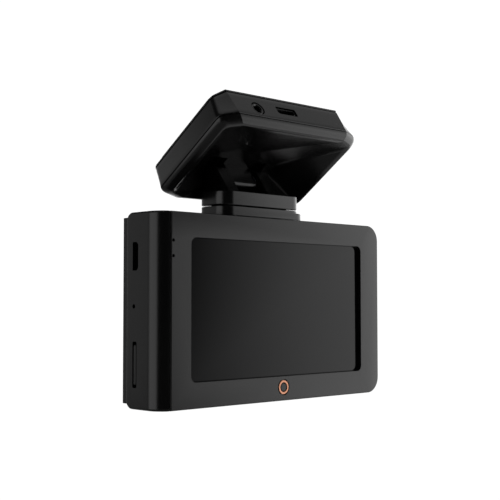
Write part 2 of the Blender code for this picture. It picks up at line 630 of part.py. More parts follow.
def shell_ring(depth, inset=0.0, end_inset=None):
    """The plate's outline at a depth, drafted outwards down to the parting line."""
    share = min(depth / PARTING_DEPTH, 1.0)
    half_w = between(PLATE_TOP_HALF[0], PLATE_LOW_HALF[0], share) - inset
    half_top = between(PLATE_TOP_HALF[1], PLATE_LOW_HALF[1], share) - inset * 0.7
    chamfer = between(PLATE_CHAMFER[0], PLATE_CHAMFER[1], share)
    half_length = PLATE_LENGTH / 2
    end = FAR_TAPER * share + (inset if end_inset is None else end_inset)
    return plate_ring(depth, half_w, half_top, chamfer, -half_length + inset, half_length - end)


def make_mount_shells(plate):
    cover = [shell_ring(0.0, 0.5), shell_ring(0.4, 0.0), shell_ring(0.9, 0.0)]
    loft("mount_cover", cover, plate, PLASTIC)

    upper = loft("mount_upper_shell", [shell_ring(1.2), shell_ring(PARTING_DEPTH)], plate, PLASTIC)
    hollow = loft("upper_hollow", [shell_ring(0.2, 1.5, 1.0), shell_ring(PARTING_DEPTH + 1, 1.5, 1.0)], plate)
    cut(upper, hollow)
    port_face = -PLATE_LENGTH / 2
    jack_hole = cylinder("jack_hole", (JACK[0], port_face, COVER_Z - JACK[1]), (0, 1, 0), JACK_R + GAP, 6,
                         plate)
    port_low = (POWER_PORT[0] - 4.1, port_face - 1, COVER_Z - POWER_PORT[1] - 1.4)
    port_high = (POWER_PORT[0] + 4.1, port_face + 3, COVER_Z - POWER_PORT[1] + 1.4)
    cut(upper, jack_hole, box("power_port_hole", port_low, port_high, plate))

    rings = [
        plate_ring(1.6, 15.6, 4.2, 5.0, -0.2, 15.6),
        plate_ring(9.3, 24.9, 19.9, 1.9, -15.5, 15.7),
        shell_ring(9.3),
        shell_ring(10.2, 0.35),
        shell_ring(11.1, 1.1),
        shell_ring(RIM_DEPTH, 2.0),
        plate_ring(RIM_DEPTH - 0.1, 25.7, 20.5, 1.9, -15.5, 14.7),
        plate_ring(2.9, 14.5, 3.5, 5.0, 1.2, 14.2),
    ]
    lower = loft("mount_lower_shell", rings, plate, PLASTIC)
    for side in (-1, 1):
        low_x, high_x = sorted((side * (EAR_X[0] - 0.5), side * (EAR_X[1] + 0.5)))
        cut(lower, box(f"ear_slot_{side}", (low_x, PIN_Y - 5.7, COVER_Z - 10.2),
                       (high_x, PIN_Y + 5.1, COVER_Z - 1.0), plate))
    knuckle_outline = arc((PIN_Y, COVER_Z - PIN_DEPTH), KNUCKLE_R, 180, 360, 10)
    knuckle_outline += [(PIN_Y + KNUCKLE_R, COVER_Z - 2.2), (PIN_Y - KNUCKLE_R, COVER_Z - 2.2)]
    join(lower, prism("knuckle", knuckle_outline, "X", -KNUCKLE_HALF_W, KNUCKLE_HALF_W, plate))
    cut(lower, cylinder("knuckle_bore", (0, PIN_Y, COVER_Z - PIN_DEPTH), (1, 0, 0), PIN_HOLE_R, 14, plate,
                        sides=24))


def make_mount_electronics(plate):
    port_face = -PLATE_LENGTH / 2
    board_z = COVER_Z - 3.2
    box("mount_board", (-21.0, port_face + 2.2, board_z), (21.0, -5.8, board_z + 0.8), plate, BOARD)
    box("gps_antenna", (8.0, port_face + 2.8, board_z + 0.8 + GAP), (19.0, -6.2, COVER_Z - 1.2), plate,
        CERAMIC)

    z = COVER_Z - JACK[1]
    jack = turned("video_jack", (JACK[0], port_face, z), (0, 1, 0),
                  [(JACK_R, 0.1), (JACK_R, 3.2), (JACK_BORE_R, 3.2), (JACK_BORE_R, 0.1)], plate, PLASTIC,
                  sides=28)
    tail = cylinder("jack_tail", (JACK[0], port_face + 3.9, z), (0, 1, 0), JACK_R - 0.2, 2.0, plate)
    join(jack, tail)

    y_low = port_face + 0.4
    z = COVER_Z - POWER_PORT[1]
    outline = [(-3.8, 1.1), (3.8, 1.1), (3.8, -0.3), (3.0, -1.1), (-3.0, -1.1), (-3.8, -0.3)]
    place = (POWER_PORT[0], 0, z)
    shell = prism("power_socket", outline, "Y", y_low, y_low + 5.6, plate, PLASTIC, place=place)
    inner = [(x * 0.92, height * 0.78) for x, height in outline]
    tongue = box("power_tongue", (POWER_PORT[0] - 2.4, y_low + 0.6, z - 0.1),
                 (POWER_PORT[0] + 2.4, y_low + 5.0, z + 0.4), plate)
    join(cut(shell, prism("power_hollow", inner, "Y", y_low - 1, y_low + 4.6, plate, place=place)), tongue)


def make_pad(plate):
    outline = rounded_rectangle((-24.5, -15.0), (24.5, 15.0), [3.0] * 4, steps=5)
    prism("adhesive_pad", outline, "Z", -PAD_T, 0.0, plate, PAD)


# ---------------------------------------------------------------- assembly


clear_scene()
PARTS = new_collection("dash_camera")
CUTTERS = new_collection("cutters")

PLASTIC = new_material("black_plastic", BLACK, 0.42)
SOFT_PLASTIC = new_material("soft_black_plastic", SOFT_BLACK, 0.6)
GLASS = new_material("dark_glass", (0.01, 0.01, 0.012), 0.05)
METAL = new_material("steel", STEEL, 0.35, metallic=1.0)
PANEL = new_material("panel", (0.03, 0.03, 0.04), 0.3)
RIBBON = new_material("ribbon", (0.55, 0.28, 0.06), 0.5)
BOARD = new_material("circuit_board", BOARD_GREEN, 0.5)
CHIP = new_material("chip", (0.03, 0.03, 0.03), 0.5)
CELL = new_material("battery_wrap", (0.30, 0.32, 0.36), 0.4)
CARD = new_material("card_plastic", (0.02, 0.02, 0.02), 0.5)
CERAMIC = new_material("ceramic", (0.75, 0.70, 0.60), 0.5)
CONTACT = new_material("contact_gold", GOLD, 0.3, metallic=1.0)
COPPER_FINISH = new_material("copper", COPPER, 0.35, metallic=1.0)
PAD = new_material("adhesive_foam", (0.05, 0.05, 0.05), 0.9)


def main():
    pin = pin_in_camera()
    pin_in_plate = (0.0, PIN_Y, COVER_Z - PIN_DEPTH)
    down, out = plate_to_neck(pin_in_plate[1], pin_in_plate[2])
    pin_in_world = (0.0, down, out)
    plate = new_empty("plate_frame", (0, 0, 0), -TILT)
    tilt = new_empty("tilt_axis", pin_in_world)
    camera = new_empty("camera_frame", [a - b for a, b in zip(pin_in_world, pin)])

    make_main_shell(camera)
    make_bezel(camera)
    make_screen(camera)
    make_ribbon(camera)
    make_badge(camera)
    make_main_board(camera)
    make_side_parts(camera)
    make_lens(camera)
    make_fascia(camera)
    make_dock(camera)
    make_neck(tilt, pin)
    make_pad(plate)
    make_mount_shells(plate)
    make_mount_electronics(plate)


main()
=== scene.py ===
"""Looks of the dash camera: fine meshes, materials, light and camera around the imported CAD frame.

Lengths named here are millimetres. Three spaces place the pieces:
  CAMERA  x from the middle of the camera's width, y from its screen side, z from its bottom
  PIN     the same axes, from the hinge pin
  PLATE   on the adhesive face, turned by the windshield's slope, y down the glass, z outwards through it
"""

import json
import math

import bmesh
import bpy
from mathutils import Euler, Matrix, Vector

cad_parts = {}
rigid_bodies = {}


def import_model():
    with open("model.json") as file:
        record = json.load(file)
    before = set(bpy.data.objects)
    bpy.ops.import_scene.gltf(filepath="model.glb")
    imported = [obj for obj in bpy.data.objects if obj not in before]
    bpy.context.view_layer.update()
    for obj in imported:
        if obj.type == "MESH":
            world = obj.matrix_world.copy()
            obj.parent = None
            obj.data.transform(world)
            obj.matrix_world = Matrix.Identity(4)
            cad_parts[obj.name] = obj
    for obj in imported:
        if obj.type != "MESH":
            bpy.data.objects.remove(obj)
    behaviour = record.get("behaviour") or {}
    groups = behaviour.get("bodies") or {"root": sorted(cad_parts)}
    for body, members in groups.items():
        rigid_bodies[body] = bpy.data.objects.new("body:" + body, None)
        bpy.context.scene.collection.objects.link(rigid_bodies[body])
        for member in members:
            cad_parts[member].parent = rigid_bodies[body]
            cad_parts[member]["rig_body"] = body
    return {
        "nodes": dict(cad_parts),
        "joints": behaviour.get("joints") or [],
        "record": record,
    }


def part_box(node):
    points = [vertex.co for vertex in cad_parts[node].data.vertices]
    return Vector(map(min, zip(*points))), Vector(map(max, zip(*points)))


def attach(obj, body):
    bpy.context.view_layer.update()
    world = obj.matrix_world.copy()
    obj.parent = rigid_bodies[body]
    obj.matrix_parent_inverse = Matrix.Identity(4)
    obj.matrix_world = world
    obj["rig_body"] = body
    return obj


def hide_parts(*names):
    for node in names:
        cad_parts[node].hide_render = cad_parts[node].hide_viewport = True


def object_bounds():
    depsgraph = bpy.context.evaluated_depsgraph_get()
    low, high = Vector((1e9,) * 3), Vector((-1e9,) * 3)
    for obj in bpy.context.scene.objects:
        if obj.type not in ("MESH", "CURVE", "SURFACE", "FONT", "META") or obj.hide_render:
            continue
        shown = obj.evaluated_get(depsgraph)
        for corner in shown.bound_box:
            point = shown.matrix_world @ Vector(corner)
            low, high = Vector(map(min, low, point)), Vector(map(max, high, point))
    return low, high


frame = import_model()
cad_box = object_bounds()

MM = 0.001
TILT = math.radians(35.4)


# ---------------------------------------------------------------- spaces

def shell_corner():
    low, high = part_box("main_shell")
    return Vector(((low.x + high.x) / 2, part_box("front_bezel")[0].y, low.z))


PIN_POINT = Vector(next(joint["pos_m"] for joint in frame["joints"] if joint["name"] == "mount_tilt"))
CAMERA = Matrix.Translation(shell_corner()) @ Matrix.Diagonal((MM, MM, MM, 1.0))
PIN = Matrix.Translation(PIN_POINT) @ Matrix.Diagonal((MM, MM, MM, 1.0))
PLATE = Matrix.Rotation(-TILT, 4, "X") @ Matrix.Diagonal((MM, MM, MM, 1.0))


# ---------------------------------------------------------------- materials

def new_material(name):
    material = bpy.data.materials.new(name)
    material.use_nodes = True
    return material, material.node_tree, material.node_tree.nodes["Principled BSDF"]


def noise(tree, scale, detail=3.0, roughness=0.55):
    """Noise in object space; scale is in cycles per metre."""
    coordinates = tree.nodes.new("ShaderNodeTexCoord")
    texture = tree.nodes.new("ShaderNodeTexNoise")
    texture.inputs["Scale"].default_value = scale
    texture.inputs["Detail"].default_value = detail
    texture.inputs["Roughness"].default_value = roughness
    tree.links.new(coordinates.outputs["Object"], texture.inputs["Vector"])
    return texture.outputs["Fac"]


def spread(tree, value, low, high, start=0.3, end=0.7):
    """Map a value that runs from start to end onto low to high."""
    node = tree.nodes.new("ShaderNodeMapRange")
    node.inputs["From Min"].default_value = start
    node.inputs["From Max"].default_value = end
    node.inputs["To Min"].default_value = low
    node.inputs["To Max"].default_value = high
    tree.links.new(value, node.inputs["Value"])
    return node.outputs["Result"]


def blend(tree, share, first, second):
    node = tree.nodes.new("ShaderNodeMix")
    node.data_type = "RGBA"
    node.inputs["A"].default_value = (*first, 1.0)
    node.inputs["B"].default_value = (*second, 1.0)
    tree.links.new(share, node.inputs["Factor"])
    return node.outputs["Result"]


def bump(tree, height, distance, strength=1.0):
    node = tree.nodes.new("ShaderNodeBump")
    node.inputs["Distance"].default_value = distance
    node.inputs["Strength"].default_value = strength
    tree.links.new(height, node.inputs["Height"])
    return node.outputs["Normal"]


def plastic(name, dark, light, roughness, grain=4500.0, grain_height=0.000012):
    """Moulded plastic: a fine spark-eroded grain, uneven gloss and a little colour drift."""
    material, tree, shader = new_material(name)
    fine = noise(tree, grain, 2.0)
    broad = noise(tree, 60.0, 3.0)
    tree.links.new(blend(tree, spread(tree, broad, 0.0, 1.0), dark, light), shader.inputs["Base Color"])
    tree.links.new(spread(tree, broad, roughness[0], roughness[1]), shader.inputs["Roughness"])
    tree.links.new(bump(tree, fine, grain_height), shader.inputs["Normal"])
    return material


def metal(name, colour, worn, roughness, grain=1800.0):
    material, tree, shader = new_material(name)
    shader.inputs["Metallic"].default_value = 1.0
    fine = noise(tree, grain, 4.0)
    tree.links.new(blend(tree, spread(tree, fine, 0.0, 1.0), colour, worn), shader.inputs["Base Color"])
    tree.links.new(spread(tree, fine, roughness[0], roughness[1]), shader.inputs["Roughness"])
    tree.links.new(bump(tree, fine, 0.000004), shader.inputs["Normal"])
    return material


def glass_front(name):
    """Cover glass bonded to a dark panel: it mirrors the room and hardly shows what is behind."""
    material, tree, shader = new_material(name)
    smear = noise(tree, 45.0, 4.0)
    tint = blend(tree, spread(tree, smear, 0.0, 1.0), (0.0026, 0.0026, 0.0028), (0.0036, 0.0036, 0.004))
    tree.links.new(tint, shader.inputs["Base Color"])
    tree.links.new(spread(tree, smear, 0.06, 0.1), shader.inputs["Roughness"])
    shader.inputs["Specular IOR Level"].default_value = 0.19
    return material


def lens_glass(name):
    material, tree, shader = new_material(name)
    coating = noise(tree, 120.0, 1.0)
    tree.links.new(blend(tree, spread(tree, coating, 0.0, 1.0), (0.004, 0.005, 0.012), (0.010, 0.006, 0.016)),
                   shader.inputs["Base Color"])
    tree.links.new(spread(tree, coating, 0.02, 0.05), shader.inputs["Roughness"])
    shader.inputs["Coat Weight"].default_value = 1.0
    shader.inputs["Coat Roughness"].default_value = 0.02
    return material


def foam(name):
    material, tree, shader = new_material(name)
    cells = noise(tree, 2600.0, 5.0, 0.7)
    tree.links.new(blend(tree, spread(tree, cells, 0.0, 1.0), (0.012, 0.012, 0.012), (0.035, 0.035, 0.036)),
                   shader.inputs["Base Color"])
    shader.inputs["Roughness"].default_value = 0.95
    tree.links.new(bump(tree, cells, 0.00006), shader.inputs["Normal"])
    return material


def circuit_board(name):
    material, tree, shader = new_material(name)
    traces = noise(tree, 700.0, 6.0, 0.8)
    tree.links.new(blend(tree, spread(tree, traces, 0.0, 1.0), (0.008, 0.06, 0.028), (0.02, 0.13, 0.06)),
                   shader.inputs["Base Color"])
    tree.links.new(spread(tree, traces, 0.3, 0.5), shader.inputs["Roughness"])
    tree.links.new(bump(tree, traces, 0.00002), shader.inputs["Normal"])
    return material


MATERIALS = {
    "black_plastic": plastic("satin_black_plastic", (0.0034, 0.0034, 0.0035), (0.0046, 0.0046, 0.0047),
                             (0.22, 0.26)),
    "soft_black_plastic": plastic("textured_black_plastic", (0.006, 0.006, 0.0062), (0.009, 0.009, 0.0093),
                                  (0.5, 0.6), 2600.0, 0.00003),
    "screen_glass": glass_front("cover_glass"),
    "lens_glass": lens_glass("coated_lens"),
    "steel": metal("nickel_plated_steel", (0.50, 0.50, 0.52), (0.62, 0.62, 0.64), (0.22, 0.38)),
    "aluminium": metal("satin_aluminium", (0.60, 0.61, 0.63), (0.70, 0.71, 0.73), (0.35, 0.5)),
    "panel": plastic("display_panel", (0.02, 0.02, 0.026), (0.03, 0.03, 0.04), (0.2, 0.3)),
    "ribbon": plastic("polyimide_film", (0.40, 0.18, 0.03), (0.55, 0.28, 0.06), (0.35, 0.5)),
    "circuit_board": circuit_board("solder_mask"),
    "chip": plastic("moulded_package", (0.015, 0.015, 0.016), (0.03, 0.03, 0.031), (0.5, 0.65)),
    "battery_wrap": plastic("laminate_pouch", (0.25, 0.27, 0.30), (0.32, 0.34, 0.38), (0.3, 0.45)),
    "card_plastic": plastic("card_plastic", (0.012, 0.012, 0.012), (0.02, 0.02, 0.02), (0.45, 0.55)),
    "ceramic": plastic("pale_ceramic", (0.60, 0.56, 0.48), (0.75, 0.70, 0.60), (0.5, 0.65)),
    "contact_gold": metal("gold_flash", (0.75, 0.52, 0.2), (0.86, 0.66, 0.3), (0.25, 0.4)),
    "copper": metal("copper_plate", (0.60, 0.26, 0.15), (0.76, 0.38, 0.25), (0.25, 0.4)),
    "adhesive_foam": foam("acrylic_foam"),
}
SLOT_OF = {row["node"]: row["material_slot"] for row in frame["record"]["subparts"]}


# ---------------------------------------------------------------- outlines and meshes

def arc(centre, radius, start, end, steps):
    """Points on an arc, angles in degrees."""
    points = []
    for step in range(steps + 1):
        angle = math.radians(start + (end - start) * step / steps)
        points.append((centre[0] + radius * math.cos(angle), centre[1] + radius * math.sin(angle)))
    return points


def rounded_rectangle(low, high, radii, steps=10):
    """Outline from corner low to corner high; radii run from the lower left, anticlockwise."""
    corners = (
        (low[0], low[1], 1, 1, 180),
        (high[0], low[1], -1, 1, 270),
        (high[0], high[1], -1, -1, 0),
        (low[0], high[1], 1, -1, 90),
    )
    outline = []
    for (x, y, inward_x, inward_y, start), radius in zip(corners, radii):
        centre = (x + inward_x * radius, y + inward_y * radius)
        outline += arc(centre, radius, start, start + 90, steps)
    return outline


def rounded_polygon(points, radii, steps=6):
    """A polygon with each corner rounded; every corner gives the same number of points."""
    outline = []
    count = len(points)
    for index, radius in enumerate(radii):
        corner = Vector(points[index])
        before = (Vector(points[index - 1]) - corner).normalized()
        after = (Vector(points[(index + 1) % count]) - corner).normalized()
        half = before.angle(after) / 2
        start = corner + before * (radius / math.tan(half))
        end = corner + after * (radius / math.tan(half))
        centre = corner + (before + after).normalized() * (radius / math.sin(half))
        for step in range(steps + 1):
            spoke = (start - centre).normalized().slerp((end - centre).normalized(), step / steps)
            outline.append(tuple(centre + spoke * radius))
    return outline


def fillet(radius, steps=5):
    """Pairs of (inset, rise) up a rounded rim, from its flat end to its wall."""
    pairs = []
    for step in range(steps + 1):
        angle = math.pi / 2 * step / steps
        pairs.append((radius * (1 - math.sin(angle)), radius * (1 - math.cos(angle))))
    return pairs


def new_object(name, bm, space):
    bmesh.ops.transform(bm, matrix=space, verts=bm.verts)
    bmesh.ops.recalc_face_normals(bm, faces=bm.faces)
    mesh = bpy.data.meshes.new(name)
    bm.to_mesh(mesh)
    bm.free()
    obj = bpy.data.objects.new(name, mesh)
    bpy.context.scene.collection.objects.link(obj)
    return obj


def loft(name, rings, space):
    """Skin rings of equal point counts and close both ends."""
    bm = bmesh.new()
    loops = [[bm.verts.new(point) for point in ring] for ring in rings]
    for lower, upper in zip(loops, loops[1:]):
        for index in range(len(lower)):
            following = (index + 1) % len(lower)
            bm.faces.new((lower[index], lower[following], upper[following], upper[index]))
    bm.faces.new(loops[0])
    bm.faces.new(loops[-1])
    bmesh.ops.remove_doubles(bm, verts=bm.verts, dist=1e-4)
    return new_object(name, bm, space)


def lift(outline, axis, level):
    """Put an outline of two coordinates at a level along the third axis."""
    index = "XYZ".index(axis)
    return [tuple(point[:index]) + (level,) + tuple(point[index:]) for point in outline]


def prism(name, outline, axis, low, high, space):
    return loft(name, [lift(outline, axis, low), lift(outline, axis, high)], space)


def slab(name, low, high, radii, axis, start, end, space, rims=(0.3, 0.3)):
    """A rounded rectangle extruded along an axis, with both rims rounded."""
    rings = []
    profile = [(inset, start + rise) for inset, rise in fillet(rims[0])]
    profile += [(inset, end - rise) for inset, rise in reversed(fillet(rims[1]))]
    for inset, level in profile:
        outline = rounded_rectangle((low[0] + inset, low[1] + inset), (high[0] - inset, high[1] - inset),
                                    [max(radius - inset, 0.01) for radius in radii])
        rings.append(lift(outline, axis, level))
    return loft(name, rings, space)


def box(name, low, high, space):
    bm = bmesh.new()
    bmesh.ops.create_cube(bm, size=1.0)
    bmesh.ops.scale(bm, vec=[b - a for a, b in zip(low, high)], verts=bm.verts)
    bmesh.ops.translate(bm, vec=[(a + b) / 2 for a, b in zip(low, high)], verts=bm.verts)
    return new_object(name, bm, space)


def turn_to(bm, centre, axis):
    turn = Vector((0, 0, 1)).rotation_difference(Vector(axis)).to_matrix().to_4x4()
    bmesh.ops.transform(bm, matrix=Matrix.Translation(centre) @ turn, verts=bm.verts)


def cylinder(name, centre, axis, radius, length, space, sides=48):
    bm = bmesh.new()
    bmesh.ops.create_cone(bm, cap_ends=True, segments=sides, radius1=radius, radius2=radius, depth=length)
    turn_to(bm, centre, axis)
    return new_object(name, bm, space)


def turned(name, centre, axis, profile, space, sides=96):
    """A closed profile of (radius, height) points turned about an axis through centre."""
    bm = bmesh.new()
    face = bm.faces.new([bm.verts.new((radius, 0.0, height)) for radius, height in profile])
    edges = [edge for edge in face.edges if any(abs(vert.co.x) > 1e-6 for vert in edge.verts)]
    bmesh.ops.delete(bm, geom=[face], context="FACES_ONLY")
    bmesh.ops.spin(bm, geom=edges, cent=(0, 0, 0), axis=(0, 0, 1), angle=math.tau, steps=sides,
                   use_merge=True)
    bmesh.ops.delete(bm, geom=[edge for edge in bm.edges if not edge.link_faces], context="EDGES")
    bmesh.ops.remove_doubles(bm, verts=bm.verts, dist=1e-5)
    turn_to(bm, centre, axis)
    return new_object(name, bm, space)


def combine(obj, others, operation):
    for other in others:
        modifier = obj.modifiers.new(operation.lower(), "BOOLEAN")
        modifier.operation = operation
        modifier.solver = "EXACT"
        modifier.object = other
    bake(obj)
    for other in others:
        bpy.data.objects.remove(other)
    return obj


def cut(obj, *cutters):
    return combine(obj, cutters, "DIFFERENCE")


def join(obj, *others):
    return combine(obj, others, "UNION")


def bake(obj):
    """Apply an object's modifiers."""
    bpy.context.view_layer.update()
    evaluated = obj.evaluated_get(bpy.context.evaluated_depsgraph_get())
    mesh = bpy.data.meshes.new_from_object(evaluated)
    obj.modifiers.clear()
    obj.data = mesh
    return obj


def soften(obj, width, segments=2, angle=32.0):
    """Round an object's remaining sharp edges by a width in millimetres."""
    obj.data.shade_smooth()
    modifier = obj.modifiers.new("soft_edges", "BEVEL")
    modifier.width = width * MM
    modifier.segments = segments
    modifier.limit_method = "ANGLE"
    modifier.angle_limit = math.radians(angle)
    modifier.harden_normals = True
    return bake(obj)


def dress(obj, nodes):
    """Give a piece its material and body, and hide the CAD nodes it stands for."""
    slot = SLOT_OF[nodes[0]]
    obj.data.materials.clear()
    obj.data.materials.append(MATERIALS[slot])
    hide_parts(*nodes)
    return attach(obj, frame["nodes"][nodes[0]]["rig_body"])


# ---------------------------------------------------------------- refined CAD nodes

def refine(node, width=0.12, segments=2):
    """A CAD node's own mesh with its facets joined up again and its edges rounded."""
    source = frame["nodes"][node].data
    bm = bmesh.new()
    verts = [bm.verts.new(vert.co) for vert in source.vertices]
    for polygon in source.polygons:
        bm.faces.new([verts[index] for index in polygon.vertices])
    bmesh.ops.remove_doubles(bm, verts=bm.verts, dist=1e-6)
    bmesh.ops.dissolve_limit(bm, angle_limit=math.radians(0.5), verts=bm.verts, edges=bm.edges)
    obj = new_object(node + "_fine", bm, Matrix.Identity(4))
    return dress(soften(obj, width, segments), [node])


# ---------------------------------------------------------------- camera body

BODY_W = 92.6
BODY_H = 54.0
SHELL_D = 14.0
WALL = 1.8
BACK_WALL = 1.6
CORNER_R = 5.0
BACK_EDGE_R = 2.0
LIP_W = 4.0
BEZEL_T = 1.9
GAP = 0.3
LEFT = -BODY_W / 2
RIGHT = BODY_W / 2
WINDOW = (-34.8, 37.6, 7.2, 47.1)     # screen opening: x low, x high, z low, z high
WINDOW_R = 1.8
LENS = (0.0, 27.0)                    # x, z
LENS_HOLE_R = 8.2
USB_SLOT = (8.9, 11.3, 37.9, 45.7)    # y and z ranges in the left wall
CARD_SLOT = (9.4, 11.2, 5.9, 18.5)
RESET_HOLE = (10.7, 28.1)
RESET_HOLE_R = 0.6
POWER_HOLE = (6.3, 9.9, 21.7, 32.3)   # y and z ranges in the right wall
INDICATORS = ((-41.2, 46.05), (-41.2, 41.8))
INDICATOR_R = 0.45
BADGE = (1.7, 4.0)
FASCIA_SCREWS = ((-40.0, 6.0), (-40.0, 48.0), (40.0, 6.0), (40.0, 48.0))
NECK_X = -4.5
NECK_HALF_W = 16.3


def round_inset(depth, radius):
    """How far a rounded edge stands back at a depth below its flat."""
    if depth >= radius:
        return 0.0
    return radius - math.sqrt(radius * radius - (radius - depth) ** 2)


def shell_ring(y):
    """The shell's section at a depth y: square on the left, rounded on the right."""
    left = LEFT + round_inset(y, CORNER_R) + round_inset(SHELL_D - y, 0.35)
    back = round_inset(SHELL_D - y, BACK_EDGE_R)
    rim = round_inset(y, 0.5) + back
    corner = max(CORNER_R - back, 0.05)
    outline = rounded_rectangle((left, rim), (RIGHT - back, BODY_H - rim), (0.7, corner, corner, 0.7))
    return lift(outline, "Y", y)


def make_shell():
    front = [CORNER_R * (1 - math.cos(math.pi / 2 * step / 20)) for step in range(21)]
    front += [0.05, 0.12, 0.22, 0.35, 0.5]
    back = [SHELL_D - BACK_EDGE_R * (1 - math.cos(math.pi / 2 * step / 10)) for step in range(11)]
    levels = sorted(set(round(level, 4) for level in front + back))
    shell = loft("camera_shell", [shell_ring(y) for y in levels], CAMERA)
    seat = box("seat", (LEFT + LIP_W, -1, -1), (RIGHT + 1, BEZEL_T + GAP, BODY_H + 1), CAMERA)
    room = rounded_rectangle((LEFT + WALL, WALL), (RIGHT - WALL, BODY_H - WALL), (0.5, 3, 3, 0.5))
    cavity = prism("cavity", room, "Y", BEZEL_T, SHELL_D - BACK_WALL, CAMERA)
    lens_hole = cylinder("lens_hole", (LENS[0], SHELL_D, LENS[1]), (0, 1, 0), LENS_HOLE_R, 8, CAMERA)
    side = (LEFT - 1, LEFT + WALL + 1)
    usb = prism("usb_hole", usb_outline(USB_SLOT), "X", *side, CAMERA)
    card = prism("card_hole", slot_outline(CARD_SLOT, 0.45, 4), "X", *side, CAMERA)
    reset = cylinder("reset_hole", (LEFT, *RESET_HOLE), (1, 0, 0), RESET_HOLE_R, 6, CAMERA, 32)
    power = prism("power_hole", slot_outline(POWER_HOLE, 1.2, 6), "X", RIGHT - WALL - 1, RIGHT + 1, CAMERA)
    cut(shell, seat, cavity, lens_hole, usb, card, reset, power)
    return dress(soften(shell, 0.1, 2, 40.0), ["main_shell"])


def slot_outline(slot, radius, steps):
    """A rounded slot in y and z."""
    y_low, y_high, z_low, z_high = slot
    return rounded_rectangle((y_low, z_low), (y_high, z_high), [radius] * 4, steps)


def usb_outline(slot, chamfer=0.7):
    """A D-shaped socket outline in y and z, with its short side towards the screen."""
    y_low, y_high, z_low, z_high = slot
    corners = [(y_low, z_low + chamfer), (y_low + chamfer, z_low), (y_high, z_low),
               (y_high, z_high), (y_low + chamfer, z_high), (y_low, z_high - chamfer)]
    return rounded_polygon(corners, [0.2] * 6, 3)


def make_bezel():
    bezel = slab("screen_bezel", (LEFT + LIP_W + GAP, 0), (RIGHT, BODY_H),
                 (0.06, CORNER_R, CORNER_R, 0.06), "Y", 0.0, BEZEL_T, CAMERA, (0.3, 0.05))
    x_low, x_high, z_low, z_high = WINDOW
    outline = rounded_rectangle((x_low, z_low), (x_high, z_high), [WINDOW_R] * 4)
    opening = prism("window", outline, "Y", -1, BEZEL_T + 1, CAMERA)
    holes = [cylinder("hole", (x, 0, z), (0, 1, 0), INDICATOR_R, 6, CAMERA, 24) for x, z in INDICATORS]
    groove = turned("groove", (BADGE[0], 0, BADGE[1]), (0, -1, 0),
                    [(2.4, 1), (2.4, -0.45), (1.1, -0.45), (1.1, 1)], CAMERA, 64)
    cut(bezel, opening, groove, *holes)
    return dress(soften(bezel, 0.12, 3, 40.0), ["front_bezel"])


def make_screen_glass():
    low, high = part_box("screen_glass")
    to_camera = CAMERA.inverted()
    low, high = to_camera @ low, to_camera @ high
    glass = slab("screen_cover_glass", (low.x, low.z), (high.x, high.z), [1.5] * 4, "Y", low.y, high.y,
                 CAMERA, (0.15, 0.15))
    return dress(soften(glass, 0.02), ["screen_glass"])


def make_badge():
    """A plain ring with softened rims."""
    profile = [(2.1, -0.3), (2.1, -0.05), (2.0, 0.05), (1.5, 0.05), (1.4, -0.05), (1.4, -0.3)]
    ring = turned("badge", (BADGE[0], 0, BADGE[1]), (0, -1, 0), profile, CAMERA, 64)
    return dress(soften(ring, 0.02), ["badge_ring"])


# ---------------------------------------------------------------- mount plate

COVER_Z = -1.2
PLATE_LENGTH = 36.3
SIDE_HALF_W = (26.0, 28.5)            # at the cover and at the parting line, as are the next two
END_HALF_W = (23.3, 22.4)
PLATE_CHAMFER = (3.2, 1.85)
PARTING_DEPTH = 9.0
RIM_DEPTH = 11.6
PIN_Y = 11.23                         # hinge pin along the plate, from its middle
PIN_DEPTH = 7.7
PIN_HOLE_R = 1.5
KNUCKLE_R = 3.0
EAR_X = (6.0, 11.0)
PORT_FACE = -PLATE_LENGTH / 2
JACK = (-13.5, 5.85)
POWER_PORT = (-1.4, 5.1)              # x from the middle of the plate, depth; so is JACK
PORT_HALF = (4.1, 1.4)                # half width and half height of its opening
JACK_R = 2.1
JACK_BORE_R = 1.35


def between(start, end, share):
    return start + (end - start) * share


def plate_ring(depth, half_w, half_top, chamfer, upper, lower, radii=(0.25, 2.6)):
    """The plate's eight-sided outline at a depth; radii round its end corners and its side corners."""
    corners = [(-half_top, upper), (half_top, upper), (half_w, upper + chamfer), (half_w, lower - chamfer),
               (half_top, lower), (-half_top, lower), (-half_w, lower - chamfer), (-half_w, upper + chamfer)]
    end_r, side_r = radii
    outline = rounded_polygon(corners, (end_r, end_r, side_r, side_r, end_r, end_r, side_r, side_r))
    return lift(outline, "Z", COVER_Z - depth)


def body_ring(depth, inset=0.0, end_inset=None):
    """The plate's outline at a depth, drafted outwards down to the parting line."""
    share = min(depth / PARTING_DEPTH, 1.0)
    end = share + (inset if end_inset is None else end_inset)
    half_w = between(*SIDE_HALF_W, share) - inset
    half_top = between(*END_HALF_W, share) - inset * 0.7
    chamfer = between(*PLATE_CHAMFER, share)
    return plate_ring(depth, half_w, half_top, chamfer, PORT_FACE + inset, -PORT_FACE - end)


def make_mount_cover():
    rings = [body_ring(0.0, 0.5), body_ring(0.4), body_ring(0.8), body_ring(0.9, 0.1)]
    return dress(soften(loft("cover_plate", rings, PLATE), 0.03), ["mount_cover"])


